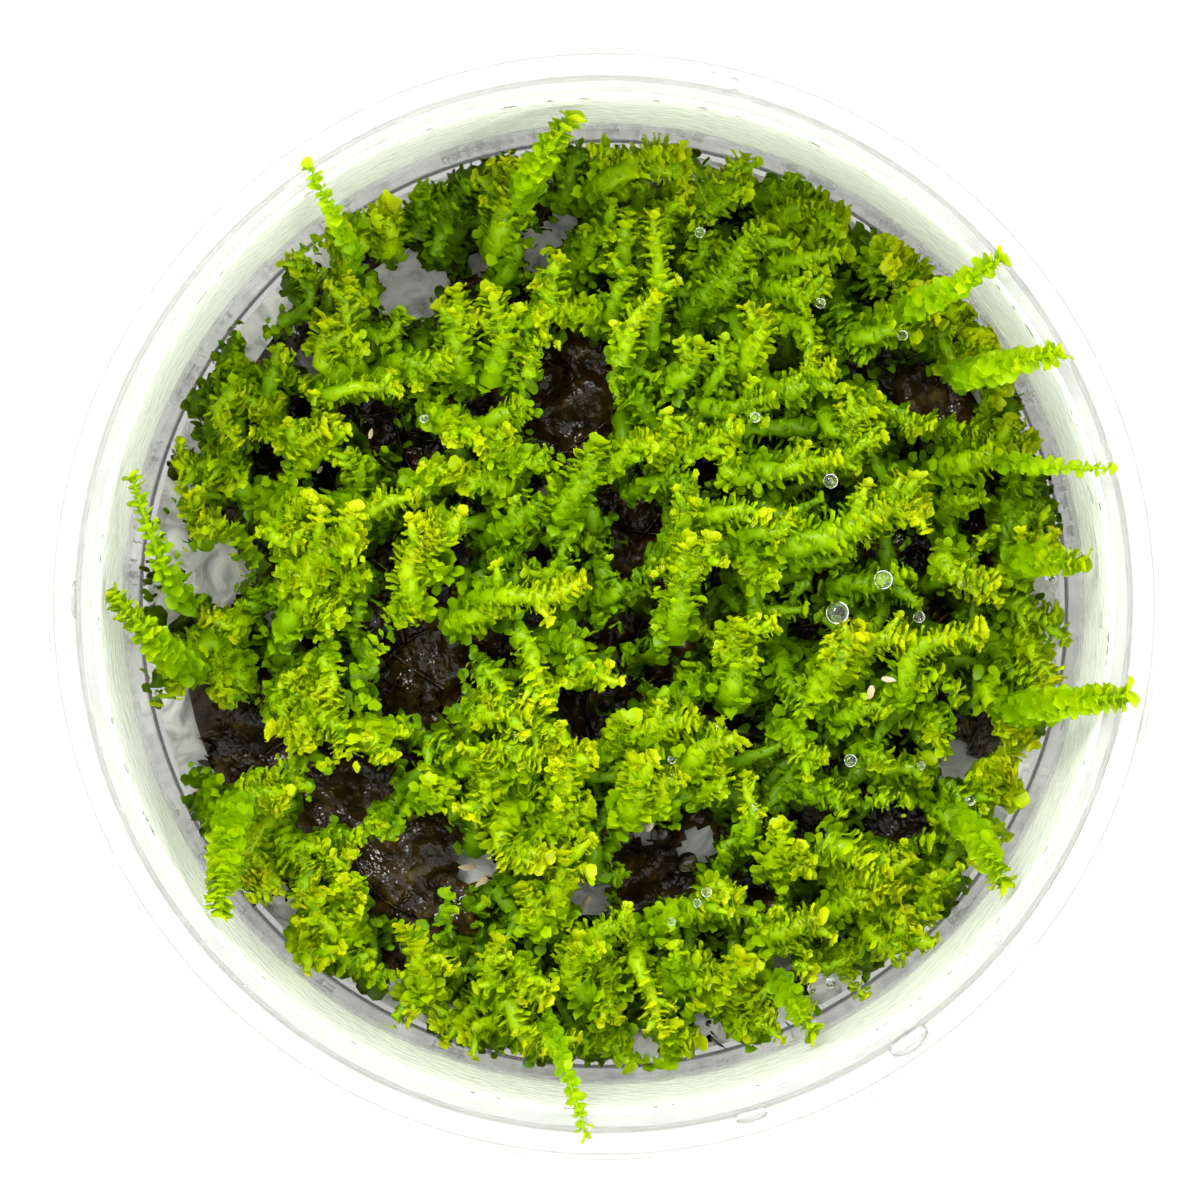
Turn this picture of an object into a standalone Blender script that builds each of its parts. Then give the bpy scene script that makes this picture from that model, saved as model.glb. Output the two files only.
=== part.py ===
"""A moss clump in its round clear culture cup: cup, gel, old growth, green tufts and runners.

The frame is metres, +Z up, with the origin under the centre of the cup's foot.
Sizes below are in millimetres, and MM turns them to metres when an object is made.
"""

import math
import random

import bmesh
import bpy
from mathutils import Vector

MM = 0.001
GAP = 0.3  # clear room kept between neighbours

# The cup, a thin-walled moulded tub with a lid rim.
RIM_RADIUS = 50.0
CUP_HEIGHT = 45.0
WALL = 0.9
FLOOR_TOP = 1.8
CORNER_TOP = 3.3  # where the floor's round corner meets the wall
LIP_Z = 44.3  # where the wall meets the lip
BORE_FOOT = 43.0  # inner wall radius at CORNER_TOP
BORE_MOUTH = 45.0  # inner wall radius at LIP_Z
GROOVE_DEPTH = 1.3  # the lid groove, outside the lip
FLANGE_DROP = 0.8  # the flange lies this far under the lip
SKIRT = 4.0  # how far the flange's skirt hangs
FOOT_RADIUS = 42.2
FOOT_WIDTH = 2.8
CUP_SIDES = 72

# What lies in the cup, from the floor up.
GEL_TOP = 5.2
MAT_TOP = 9.6
MOSS_RADIUS = 42.2  # how far out the tufts reach
TUFT_PEAK = 26.0  # height of the middle tuft
TUFT_FALL = 7.0  # how much lower the outer tufts are
INNER_RING, INNER_TUFTS = 15.0, 6
OUTER_RING, OUTER_TUFTS = 31.5, 13
# A tuft's shape: (share of its height, share of its outline) from its foot to its crown.
TUFT_SHAPE = ((0.0, 0.94), (0.3, 1.0), (0.62, 0.97), (0.84, 0.82), (0.96, 0.56), (1.0, 0.26))

# Runners, the single shoots that climb from the outer tufts up the wall, some over the lip.
# A row is the bearing of the foot and of the tip in degrees, the tip's distance from the cup's
# axis, the tip's height and the shoot's own radius.
RUNNERS = (
    (103, 96, 42.2, 38.0, 1.4),
    (126, 124, 46.6, 48.2, 0.8),
    (181, 165, 42.8, 40.0, 0.8),
    (188, 180, 41.6, 40.0, 1.5),
    (215, 217, 42.0, 42.5, 1.6),
    (262, 268, 46.8, 48.4, 0.8),
    (305, 303, 41.0, 32.0, 1.2),
    (322, 326, 42.4, 40.0, 1.2),
    (345, 350, 46.8, 49.2, 1.3),
    (4, 6, 41.2, 35.0, 1.2),
    (20, 15, 46.2, 48.2, 0.8),
    (33, 29, 45.8, 49.2, 1.3),
    (44, 41, 46.6, 49.0, 1.2),
)
RUNNER_FOOT_REACH = 38.0
RUNNER_FOOT_Z = 20.4
RUNNER_STATIONS = 10
LIP_BEND_REACH = 40.4  # a runner that crosses the lip keeps this far in until it is above it

PLASTIC = ("clear_polypropylene", (0.86, 0.89, 0.86), 0.12)
GEL = ("nutrient_gel", (0.70, 0.72, 0.66), 0.08)
DEAD = ("dead_moss", (0.035, 0.022, 0.008), 0.35)
GREEN = ("green_moss", (0.22, 0.42, 0.01), 0.45)
YOUNG = ("young_moss", (0.48, 0.66, 0.03), 0.45)


def bore_radius(height):
    """The cup's inner wall radius at a height."""
    share = (height - CORNER_TOP) / (LIP_Z - CORNER_TOP)
    return BORE_FOOT + (BORE_MOUTH - BORE_FOOT) * share


def around(radius, bearing, height):
    return Vector((radius * math.cos(bearing), radius * math.sin(bearing), height))


def bezier(start, bend, end, t):
    return (1 - t) ** 2 * start + 2 * t * (1 - t) * bend + t**2 * end


def material(finish):
    name, colour, roughness = finish
    made = bpy.data.materials.get(name)
    if made is None:
        made = bpy.data.materials.new(name)
        made.use_nodes = True
        shader = made.node_tree.nodes["Principled BSDF"]
        shader.inputs["Base Color"].default_value = (*colour, 1)
        shader.inputs["Roughness"].default_value = roughness
        shader.inputs["Metallic"].default_value = 0.0
    return made


def add_object(name, bm, finish):
    """Turns a bmesh in millimetres into a named object in metres, with its faces pointing out."""
    bmesh.ops.scale(bm, vec=(MM, MM, MM), verts=bm.verts)
    bmesh.ops.recalc_face_normals(bm, faces=bm.faces)
    mesh = bpy.data.meshes.new(name)
    bm.to_mesh(mesh)
    bm.free()
    mesh.materials.append(material(finish))
    mesh.shade_smooth()
    mesh.set_sharp_from_angle(angle=math.radians(35))
    made = bpy.data.objects.new(name, mesh)
    bpy.context.scene.collection.objects.link(made)
    return made


def turned(name, profile, sides, finish):
    """A solid of revolution whose profile, (radius, height) pairs, starts and ends on the axis."""
    bm = bmesh.new()
    points = [bm.verts.new((radius, 0, height)) for radius, height in profile]
    edges = [bm.edges.new(pair) for pair in zip(points, points[1:])]
    bmesh.ops.spin(
        bm, geom=points + edges, axis=(0, 0, 1), angle=2 * math.pi, steps=sides, use_merge=True
    )
    bmesh.ops.remove_doubles(bm, verts=bm.verts, dist=0.001)
    return add_object(name, bm, finish)


def stacked(name, outlines, finish):
    """A solid skinned over outlines with the same number of points, lowest first, and capped."""
    bm = bmesh.new()
    rings = [[bm.verts.new(point) for point in outline] for outline in outlines]
    for below, above in zip(rings, rings[1:]):
        for side in range(len(below)):
            after = (side + 1) % len(below)
            bm.faces.new((below[side], below[after], above[after], above[side]))
    bm.faces.new(rings[0][::-1])
    bm.faces.new(rings[-1])
    return add_object(name, bm, finish)


def cup():
    """Floor, rounded corner, drafted wall, lip, lid groove, flange with a skirt, and foot ring."""
    flange_z = CUP_HEIGHT - FLANGE_DROP
    groove_z = CUP_HEIGHT - GROOVE_DEPTH
    inside = [
        (0, FLOOR_TOP),
        (BORE_FOOT - 1.5, FLOOR_TOP),
        (BORE_FOOT - 0.4, FLOOR_TOP + 0.45),
        (BORE_FOOT, CORNER_TOP),
        (BORE_MOUTH, LIP_Z),
        (BORE_MOUTH + 0.4, CUP_HEIGHT),
    ]
    rim = [
        (BORE_MOUTH + 1.5, CUP_HEIGHT),
        (BORE_MOUTH + 1.8, CUP_HEIGHT - 0.3),
        (BORE_MOUTH + 2.0, groove_z),
        (BORE_MOUTH + 3.0, groove_z),
        (BORE_MOUTH + 3.4, flange_z),
        (RIM_RADIUS - 0.4, flange_z),
        (RIM_RADIUS, flange_z - 0.4),
        (RIM_RADIUS, flange_z - SKIRT),
        (RIM_RADIUS - 0.7, flange_z - SKIRT),
        (RIM_RADIUS - 0.7, groove_z - WALL),
        (BORE_MOUTH + WALL + 0.3, groove_z - WALL - 0.2),
    ]
    outside = [
        (BORE_MOUTH + WALL, groove_z - WALL - 0.9),
        (BORE_FOOT + WALL, CORNER_TOP),
        (BORE_FOOT + 0.4, 0.8),
        (FOOT_RADIUS, 0),
        (FOOT_RADIUS - FOOT_WIDTH, 0),
        (FOOT_RADIUS - FOOT_WIDTH - 0.4, FLOOR_TOP - WALL),
        (0, FLOOR_TOP - WALL),
    ]
    return turned("cup", inside + rim + outside, CUP_SIDES, PLASTIC)


def gel_layer():
    """A shallow disc of set nutrient gel over the cup's floor."""
    foot = FLOOR_TOP + GAP
    edge = bore_radius(GEL_TOP) - 1.4 * GAP
    profile = [
        (0, GEL_TOP),
        (edge, GEL_TOP),
        (edge - 0.5, CORNER_TOP),
        (edge - 1.6, foot),
        (0, foot),
    ]
    return turned("gel_layer", profile, 48, GEL)


def mat_reach(bearing):
    """How far out the old growth goes, with lobes and with bays where the gel lies bare."""
    lobes = 1.3 * math.sin(5 * bearing + 0.6) + 0.9 * math.sin(9 * bearing + 2.0)
    bays = ((121, 4.5), (100, 3.5), (180, 4.0), (299, 4.0), (336, 3.5))
    dent = 0.0
    for middle, depth in bays:
        turn = (math.degrees(bearing) - middle + 180) % 360 - 180
        dent += depth * math.exp(-((turn / 7.0) ** 2))
    return min(38.5 + lobes - dent, MOSS_RADIUS - 1.5)


def old_growth_mat():
    """The dead brown stems under the green: a felted slab with a lumpy top and a ragged edge."""
    sides = 48
    bearings = [2 * math.pi * side / sides for side in range(sides)]
    outlines = [
        [around(0.97 * mat_reach(bearing), bearing, GEL_TOP + GAP) for bearing in bearings],
        [around(mat_reach(bearing), bearing, MAT_TOP - 2.2) for bearing in bearings],
    ]
    for ring, share in enumerate((0.94, 0.7, 0.42, 0.18), start=1):
        outline = []
        for bearing in bearings:
            lump = 0.7 * math.sin(4 * bearing + ring) * math.sin(2.1 * ring)
            outline.append(around(share * mat_reach(bearing), bearing, MAT_TOP - 0.8 + lump))
        outlines.append(outline)
    return stacked("old_growth_mat", outlines, DEAD)


def tuft_places():
    """The middle of every tuft: one near the cup's axis and two rings around it."""
    shake = random.Random(11)
    places = [Vector((0.5, -0.8, 0))]
    for radius, count, turn in ((INNER_RING, INNER_TUFTS, 0.3), (OUTER_RING, OUTER_TUFTS, 0.1)):
        for step in range(count):
            bearing = turn + 2 * math.pi * step / count + shake.uniform(-0.07, 0.07)
            places.append(around(radius + shake.uniform(-0.9, 0.9), bearing, 0))
    return places


def tuft_outline(place, others):
    """The ground nearest to a tuft's own middle: the moss's round, cut half way to each other."""
    bm = bmesh.new()
    bmesh.ops.create_circle(bm, cap_ends=True, segments=40, radius=MOSS_RADIUS)
    for other in others:
        away = (other - place).normalized()
        bmesh.ops.bisect_plane(
            bm,
            geom=bm.verts[:] + bm.edges[:] + bm.faces[:],
            dist=0.0001,
            plane_co=(place + other) / 2 - away * GAP / 2,
            plane_no=away,
            clear_outer=True,
        )
    bmesh.ops.remove_doubles(bm, verts=bm.verts, dist=0.05)
    bm.faces.ensure_lookup_table()
    outline = [loop.vert.co.copy() for loop in bm.faces[0].loops]
    bm.free()
    return outline


def tufts():
    """The green cushions, each a bundle of living shoots, that fit together over the old growth."""
    places = tuft_places()
    shake = random.Random(5)
    foot = Vector((0, 0, MAT_TOP + GAP))
    for number, place in enumerate(places, start=1):
        fall = TUFT_FALL * (place.length / OUTER_RING) ** 2
        rise = TUFT_PEAK - fall + shake.uniform(-1.0, 0.6) - foot.z
        ground = tuft_outline(place, [other for other in places if other is not place])
        outlines = []
        for lift, width in TUFT_SHAPE:
            middle = place + foot + Vector((0, 0, lift * rise))
            outlines.append([middle + (point - place) * width for point in ground])
        stacked(f"tuft_{number:02d}", outlines, GREEN)


def runner(name, foot_bearing, tip_bearing, tip_reach, tip_z, radius):
    """One shoot as a tapering tube that rises inside the wall and may bend out over the lip."""
    over_lip = tip_reach > BORE_MOUTH
    bend_reach = LIP_BEND_REACH if over_lip else tip_reach - 0.6
    bend_z = tip_z - 0.6 if over_lip else (RUNNER_FOOT_Z + tip_z) / 2 - 2.0
    curve = bpy.data.curves.new(name, "CURVE")
    curve.dimensions = "3D"
    curve.bevel_depth = radius * MM
    curve.bevel_resolution = 2
    curve.use_fill_caps = True
    spline = curve.splines.new("POLY")
    spline.points.add(RUNNER_STATIONS - 1)
    turn = (tip_bearing - foot_bearing + 180) % 360 - 180
    for station, point in enumerate(spline.points):
        t = station / (RUNNER_STATIONS - 1)
        reach = bezier(RUNNER_FOOT_REACH, bend_reach, tip_reach, t)
        height = bezier(RUNNER_FOOT_Z, bend_z, tip_z, t)
        place = around(reach, math.radians(foot_bearing + turn * t), height) * MM
        point.co = (*place, 1)
        point.radius = 1.0 - 0.35 * t
    curve.materials.append(material(YOUNG))
    made = bpy.data.objects.new(name, curve)
    bpy.context.scene.collection.objects.link(made)
    return made


for old in list(bpy.data.objects):
    bpy.data.objects.remove(old, do_unlink=True)
cup()
gel_layer()
old_growth_mat()
tufts()
for number, row in enumerate(RUNNERS, start=1):
    runner(f"runner_{number:02d}", *row)
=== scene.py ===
import math

import bpy
import numpy as np
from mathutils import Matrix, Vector, noise


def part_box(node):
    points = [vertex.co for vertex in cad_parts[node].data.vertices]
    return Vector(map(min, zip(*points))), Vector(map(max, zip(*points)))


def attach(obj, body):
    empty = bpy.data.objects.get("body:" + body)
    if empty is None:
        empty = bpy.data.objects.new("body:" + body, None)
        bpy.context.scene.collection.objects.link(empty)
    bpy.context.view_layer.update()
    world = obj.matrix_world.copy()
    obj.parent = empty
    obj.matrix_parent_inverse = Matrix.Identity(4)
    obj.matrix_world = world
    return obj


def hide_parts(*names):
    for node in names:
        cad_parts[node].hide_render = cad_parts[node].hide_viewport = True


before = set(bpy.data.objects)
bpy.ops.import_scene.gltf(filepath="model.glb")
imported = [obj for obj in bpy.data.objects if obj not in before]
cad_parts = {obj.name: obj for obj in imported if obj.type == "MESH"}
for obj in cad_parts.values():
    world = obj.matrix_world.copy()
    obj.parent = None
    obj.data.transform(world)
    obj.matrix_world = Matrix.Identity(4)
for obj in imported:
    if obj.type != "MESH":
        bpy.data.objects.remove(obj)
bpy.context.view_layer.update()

MM = 0.001


def rgb(hex_colour):
    """An sRGB hex colour as linear red, green and blue, with an alpha of one."""
    parts = [int(hex_colour[place : place + 2], 16) / 255 for place in (1, 3, 5)]
    return (*(p / 12.92 if p <= 0.04045 else ((p + 0.055) / 1.055) ** 2.4 for p in parts), 1.0)


def new_material(name):
    made = bpy.data.materials.new(name)
    made.use_nodes = True
    made.node_tree.nodes.clear()
    return made


def node(mat, kind, links=(), inputs=(), stops=(), **settings):
    """Adds a node. settings are its properties, inputs its (socket, value) pairs, links its
    (socket, output of another node) pairs and stops the (place, hex colour) pairs of a ramp."""
    made = mat.node_tree.nodes.new(kind)
    for name, value in settings.items():
        setattr(made, name, value)
    for socket, value in inputs:
        made.inputs[socket].default_value = value
    for socket, source in links:
        mat.node_tree.links.new(source, made.inputs[socket])
    for number, (place, colour) in enumerate(stops):
        elements = made.color_ramp.elements
        stop = elements[number] if number < 2 else elements.new(place)
        stop.position, stop.color = place, rgb(colour)
    return made


scene = bpy.context.scene
scene.view_settings.view_transform = "Standard"
scene.view_settings.look = "None"
scene.cycles.use_denoising = True
scene.cycles.adaptive_threshold = 0.2
scene.cycles.max_bounces = 8
scene.cycles.diffuse_bounces = 3
scene.cycles.glossy_bounces = 2
scene.cycles.transmission_bounces = 8

world = bpy.data.worlds.new("white_studio")
world.use_nodes = True
SKY_STRENGTH = 3.0
sky = world.node_tree.nodes["Background"]
sky.inputs["Color"].default_value = (1.0, 1.0, 1.0, 1.0)
sky.inputs["Strength"].default_value = SKY_STRENGTH
scene.world = world

bpy.ops.object.select_all(action="DESELECT")
FLOOR_WIDTH = 6.0
FLOOR_Z = -0.2 * MM
FLOOR_GREY = 0.14
FLOOR_GLOW = 0.66
bpy.ops.mesh.primitive_plane_add(size=FLOOR_WIDTH, location=(0, 0, FLOOR_Z))
floor = bpy.context.object
floor.name = "studio_floor"
paper = new_material("white_light_table")
matt = node(paper, "ShaderNodeBsdfDiffuse", inputs=[("Color", (FLOOR_GREY, FLOOR_GREY, FLOOR_GREY, 1))])
glow = node(paper, "ShaderNodeEmission", inputs=[("Strength", FLOOR_GLOW)])
lit = node(paper, "ShaderNodeAddShader", [(0, matt.outputs[0]), (1, glow.outputs[0])])
node(paper, "ShaderNodeOutputMaterial", [("Surface", lit.outputs[0])])
floor.data.materials.append(paper)


def lamp(name, place, size, power):
    data = bpy.data.lights.new(name, "AREA")
    data.shape = "DISK"
    data.size = size
    data.energy = power
    made = bpy.data.objects.new(name, data)
    made.location = place
    made.rotation_euler = (-Vector(place)).to_track_quat("-Z", "Y").to_euler()
    scene.collection.objects.link(made)


lamp("key_lamp", (-0.30, 0.42, 0.90), 0.30, 16)
lamp("fill_lamp", (0.50, -0.25, 0.80), 0.20, 6)

# The lens takes in a disc a little wider than the cup's rim. Both are in metres.
RIM_TO_CAMERA = 0.770
SEEN_HALF_WIDTH = 0.0532
cup_high = Vector(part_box("cup")[1])
camera_data = bpy.data.cameras.new("overhead_camera")
SENSOR_WIDTH = 36
camera_data.sensor_width = SENSOR_WIDTH
camera_data.lens = SENSOR_WIDTH * RIM_TO_CAMERA / (2 * SEEN_HALF_WIDTH)
camera = bpy.data.objects.new("overhead_camera", camera_data)
camera.location = (-0.35 * MM, 0.35 * MM, cup_high.z + RIM_TO_CAMERA)
scene.collection.objects.link(camera)
scene.camera = camera

# ---------------------------------------------------------------- cup
# Injection-moulded clear polypropylene tub with its lid off: a thin drafted wall, a lip, a groove for
# the lid and a flange with a skirt. The inside of the wall is misted above the moss.
FLOOR_TOP = 1.8
CORNER_TOP = 3.3
LIP_Z = cup_high.z / MM - 0.7
BORE_FOOT = 43.0
BORE_MOUTH = 45.0
CUP_SIDES = 192
rim_radius = cup_high.x / MM
top = cup_high.z / MM


def bore_radius(height):
    """The radius of the cup's inner wall at a height, all in millimetres."""
    return BORE_FOOT + (BORE_MOUTH - BORE_FOOT) * (height - CORNER_TOP) / (LIP_Z - CORNER_TOP)


# The wall's section from the middle of the underside, round the rim and back to the floor's middle:
# distance from the axis and height, in millimetres.
CUP_SECTION = (
    (0.6, 0.9), (39.2, 0.9), (39.4, 0.1), (40.0, 0.0), (41.8, 0.0), (42.2, 0.3), (43.1, 1.2), (43.6, 2.4),
    (43.9, 3.6), (45.7, 41.6), (46.3, 42.6), (48.2, 42.9), (48.9, 42.8), (49.1, 42.2), (49.2, 40.4),
    (49.4, 40.2), (49.8, 40.2), (rim_radius, 40.5), (rim_radius, 43.6), (49.7, 44.0), (49.2, 44.2),
    (48.5, 44.1), (48.1, 43.8), (47.5, 43.65), (47.0, 43.8), (46.75, 44.4), (46.45, top - 0.1),
    (46.1, top), (45.6, top - 0.03), (45.2, top - 0.25), (BORE_MOUTH, LIP_Z), (44.5, 34.0), (44.0, 23.8),
    (43.5, 13.5), (BORE_FOOT, CORNER_TOP), (42.5, 2.3), (41.6, FLOOR_TOP), (0.6, FLOOR_TOP),
)
bpy.ops.object.select_all(action="DESELECT")
start_radius, start_height = CUP_SECTION[0]
bpy.ops.mesh.primitive_circle_add(
    vertices=CUP_SIDES, radius=start_radius * MM, fill_type="NGON", location=(0, 0, start_height * MM)
)
tub = bpy.context.object
tub.name = "clear_cup"
bpy.ops.object.transform_apply(location=True)
bpy.ops.object.mode_set(mode="EDIT")
bpy.ops.mesh.select_mode(type="EDGE")
for (inner, low), (outer, high) in zip(CUP_SECTION, CUP_SECTION[1:]):
    bpy.ops.mesh.extrude_edges_move(TRANSFORM_OT_translate={"value": (0, 0, (high - low) * MM)})
    grow = outer / inner
    bpy.ops.transform.resize(value=(grow, grow, 1), center_override=(0, 0, high * MM))
bpy.ops.mesh.edge_face_add()
bpy.ops.mesh.select_all(action="SELECT")
bpy.ops.mesh.normals_make_consistent(inside=False)
bpy.ops.mesh.select_mode(type="VERT")
bpy.ops.object.mode_set(mode="OBJECT")
bpy.ops.object.shade_smooth_by_angle(angle=math.radians(50))

# Polypropylene lets light through with a faint milkiness, more so where the rim is thick. The mist is
# rough and beaded. It lies on the inner face only, nearer the axis than the middle of the wall, and
# fades out where the moss keeps the wall clear, between two heights in millimetres.
clear = new_material("moulded_clear_polypropylene")
coords = node(clear, "ShaderNodeTexCoord")
place = node(clear, "ShaderNodeSeparateXYZ", [("Vector", coords.outputs["Object"])])
flat = node(
    clear, "ShaderNodeVectorMath", [(0, coords.outputs["Object"])], [(1, (1, 1, 0))],
    operation="MULTIPLY",
)
reach = node(clear, "ShaderNodeVectorMath", [(0, flat.outputs["Vector"])], operation="LENGTH")
DRAFT = (BORE_MOUTH - BORE_FOOT) / (LIP_Z - CORNER_TOP)
HALF_WALL = 0.3
mid_wall = node(
    clear, "ShaderNodeMath", [(0, place.outputs["Z"])],
    [(1, DRAFT), (2, (BORE_FOOT - DRAFT * CORNER_TOP + HALF_WALL) * MM)], operation="MULTIPLY_ADD",
)
inside = node(
    clear, "ShaderNodeMath", [(0, reach.outputs["Value"]), (1, mid_wall.outputs[0])], operation="LESS_THAN"
)
MIST_FROM, MIST_FULL = 17.0, 23.0
above_moss = node(
    clear, "ShaderNodeMapRange", [("Value", place.outputs["Z"])],
    [("From Min", MIST_FROM * MM), ("From Max", MIST_FULL * MM)],
)
misted = node(
    clear, "ShaderNodeMath", [(0, inside.outputs[0]), (1, above_moss.outputs[0])], operation="MULTIPLY"
)
RIM_FROM = 42.0
at_rim = node(
    clear, "ShaderNodeMath", [(0, place.outputs["Z"])], [(1, RIM_FROM * MM)], operation="GREATER_THAN"
)
MIST_BEAD = 1.1 * MM
beads = node(
    clear, "ShaderNodeTexVoronoi", [("Vector", coords.outputs["Object"])],
    [("Scale", 1 / MIST_BEAD), ("Randomness", 1.0)], feature="SMOOTH_F1",
)
bead_height = node(
    clear, "ShaderNodeMath", [(0, beads.outputs["Distance"]), (1, misted.outputs[0])], operation="MULTIPLY"
)
bead_bump = node(
    clear, "ShaderNodeBump", [("Height", bead_height.outputs[0])], [("Strength", 0.9), ("Distance", 0.4 * MM)]
)
PLAIN_ROUGHNESS = 0.05
MIST_ROUGHNESS = 0.26
mist_rough = node(
    clear, "ShaderNodeMath", [(0, misted.outputs[0])],
    [(1, MIST_ROUGHNESS), (2, PLAIN_ROUGHNESS)], operation="MULTIPLY_ADD",
)
haze = node(
    clear, "ShaderNodeValToRGB", [("Fac", beads.outputs["Distance"])],
    stops=((0.10, "#FAFBF6"), (0.75, "#E2E8D6"), (0.45, "#F1F4E9")),
)
tint = node(
    clear, "ShaderNodeMix", [(0, misted.outputs[0]), (7, haze.outputs["Color"])], [(6, rgb("#D6D7D2"))],
    data_type="RGBA",
)
PLAIN_CLEARNESS = 0.95
MIST_MILKINESS = 0.34
RIM_MILKINESS = 0.14
wall_clearness = node(
    clear, "ShaderNodeMath", [(0, misted.outputs[0])],
    [(1, -MIST_MILKINESS), (2, PLAIN_CLEARNESS)], operation="MULTIPLY_ADD",
)
clearness = node(
    clear, "ShaderNodeMath", [(0, at_rim.outputs[0]), (2, wall_clearness.outputs[0])],
    [(1, -RIM_MILKINESS)], operation="MULTIPLY_ADD",
)
shell = node(
    clear, "ShaderNodeBsdfPrincipled",
    [
        ("Base Color", tint.outputs[2]), ("Roughness", mist_rough.outputs[0]),
        ("Transmission Weight", clearness.outputs[0]), ("Normal", bead_bump.outputs["Normal"]),
    ],
    [("IOR", 1.49)],
)
node(clear, "ShaderNodeOutputMaterial", [("Surface", shell.outputs[0])])
tub.data.materials.append(clear)
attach(tub, "root")
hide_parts("cup")

# ---------------------------------------------------------------- gel
# Set nutrient gel over the cup's floor: wet, grey and wrinkled where the moss leaves it bare, with
# cream highlights painted along the folds.
gel_high = Vector(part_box("gel_layer")[1])


def from_arrays(name, points, faces, **attributes):
    """A smooth mesh object from arrays of points and of faces, with float attributes on its points."""
    mesh = bpy.data.meshes.new(name)
    mesh.from_pydata(points, [], faces)
    for label, values in attributes.items():
        layer = mesh.attributes.new(label, "FLOAT", "POINT")
        layer.data.foreach_set("value", np.asarray(values, dtype=np.float32).ravel())
    mesh.shade_smooth()
    made = bpy.data.objects.new(name, mesh)
    scene.collection.objects.link(made)
    return made


def disc(name, radius, rings, sides, height_at, kept=None):
    """A round sheet whose heights come from height_at(x, y) in metres. kept(x, y) leaves out faces."""
    points = [(0.0, 0.0, height_at(0.0, 0.0))]
    for ring in range(1, rings + 1):
        for side in range(sides):
            bearing = 2 * math.pi * side / sides
            x = radius * ring / rings * math.cos(bearing)
            y = radius * ring / rings * math.sin(bearing)
            points.append((x, y, height_at(x, y)))
    faces = [(0, 1 + side, 1 + (side + 1) % sides) for side in range(sides)]
    for ring in range(rings - 1):
        for side in range(sides):
            a, b = 1 + ring * sides + side, 1 + ring * sides + (side + 1) % sides
            faces.append((a, a + sides, b + sides, b))
    if kept:
        open_points = [kept(x, y) for x, y, z in points]
        faces = [face for face in faces if all(open_points[corner] for corner in face)]
    return from_arrays(name, points, faces)


def gel_height(x, y):
    fold = noise.ridged_multi_fractal((x * 260, y * 260, 3.0), 1.0, 2.1, 3, 1.0, 2.0)
    return gel_high.z + 0.5 * MM * fold + 0.4 * MM * noise.noise((x * 90, y * 90, 8.0))


gel = disc("wrinkled_gel", gel_high.x - 0.2 * MM, 80, 200, gel_height)
agar = new_material("set_agar_gel")
coords = node(agar, "ShaderNodeTexCoord")
WRINKLE = 4.0 * MM
folds = node(
    agar, "ShaderNodeTexNoise", [("Vector", coords.outputs["Object"])],
    [("Scale", 1 / WRINKLE), ("Detail", 4.0), ("Distortion", 1.8)],
)
# Painted highlights: the crests of the folds are painted cream-white, standing in for glints of the lamps on
# the wet gel.
painted_fold_highlights = node(
    agar, "ShaderNodeValToRGB", [("Fac", folds.outputs["Fac"])],
    stops=((0.30, "#8C8B84"), (0.78, "#F4ECD8"), (0.50, "#D2D2CC"), (0.64, "#E4E2D8")),
)
crease = node(
    agar, "ShaderNodeBump", [("Height", folds.outputs["Fac"])], [("Strength", 0.7), ("Distance", 0.8 * MM)]
)
wet_gel = node(
    agar, "ShaderNodeBsdfPrincipled",
    [("Base Color", painted_fold_highlights.outputs["Color"]), ("Normal", crease.outputs["Normal"])],
    [("Roughness", 0.08), ("IOR", 1.35)],
)
node(agar, "ShaderNodeOutputMaterial", [("Surface", wet_gel.outputs[0])])
gel.data.materials.append(agar)
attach(gel, "root")
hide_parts("gel_layer")

# ---------------------------------------------------------------- old growth
# A felt of dead stems and leaves under the living moss, soaked, nearly black and shining where it is
# open to the light. Its leaves and all the living ones are copies of three modelled leaves.


def select_only(made, chosen):
    """Enters edit mode with only the points for which chosen(place) holds selected."""
    bpy.ops.object.mode_set(mode="EDIT")
    bpy.ops.mesh.select_all(action="DESELECT")
    bpy.ops.object.mode_set(mode="OBJECT")
    for vert in made.data.vertices:
        vert.select = chosen(vert.co)
    bpy.ops.object.mode_set(mode="EDIT")


def model_leaf(name, half_widths, columns, cupping, recurve):
    """A leaf one unit long along Y, shaped row by row from a flat grid of one row per half width."""
    rows = len(half_widths)
    bpy.ops.object.select_all(action="DESELECT")
    bpy.ops.mesh.primitive_grid_add(
        x_subdivisions=columns - 1, y_subdivisions=rows - 1, size=1.0, location=(0, 0.5, 0)
    )
    leaf = bpy.context.object
    leaf.name = name
    bpy.ops.object.transform_apply(location=True)
    for row, half_width in enumerate(half_widths):
        y = row / (rows - 1)
        select_only(leaf, lambda place: abs(place.y - y) < 0.01)
        bpy.ops.transform.resize(value=(2 * half_width, 1, 1))
        bpy.ops.transform.translate(value=(0, 0, recurve * y * y))
        bpy.ops.object.mode_set(mode="OBJECT")
    select_only(leaf, lambda place: abs(place.x) < 0.01)
    bpy.ops.transform.translate(value=(0, 0, -cupping))
    bpy.ops.object.mode_set(mode="OBJECT")
    points = np.array([vert.co[:] for vert in leaf.data.vertices])
    quads = np.array([face.vertices[:] for face in leaf.data.polygons])
    bpy.data.objects.remove(leaf, do_unlink=True)
    return points, quads


ROUND_LEAF = model_leaf("round_leaf", (0.25, 0.50, 0.56, 0.46, 0.14), 3, 0.16, -0.16)
SMALL_LEAF = model_leaf("small_leaf", (0.25, 0.52, 0.50, 0.14), 3, 0.14, -0.16)
LANCE_LEAF = model_leaf("lance_leaf", (0.12, 0.22, 0.15, 0.02), 3, 0.07, -0.22)


def unit(vectors):
    return vectors / np.maximum(np.linalg.norm(vectors, axis=-1, keepdims=True), 1e-9)


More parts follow.
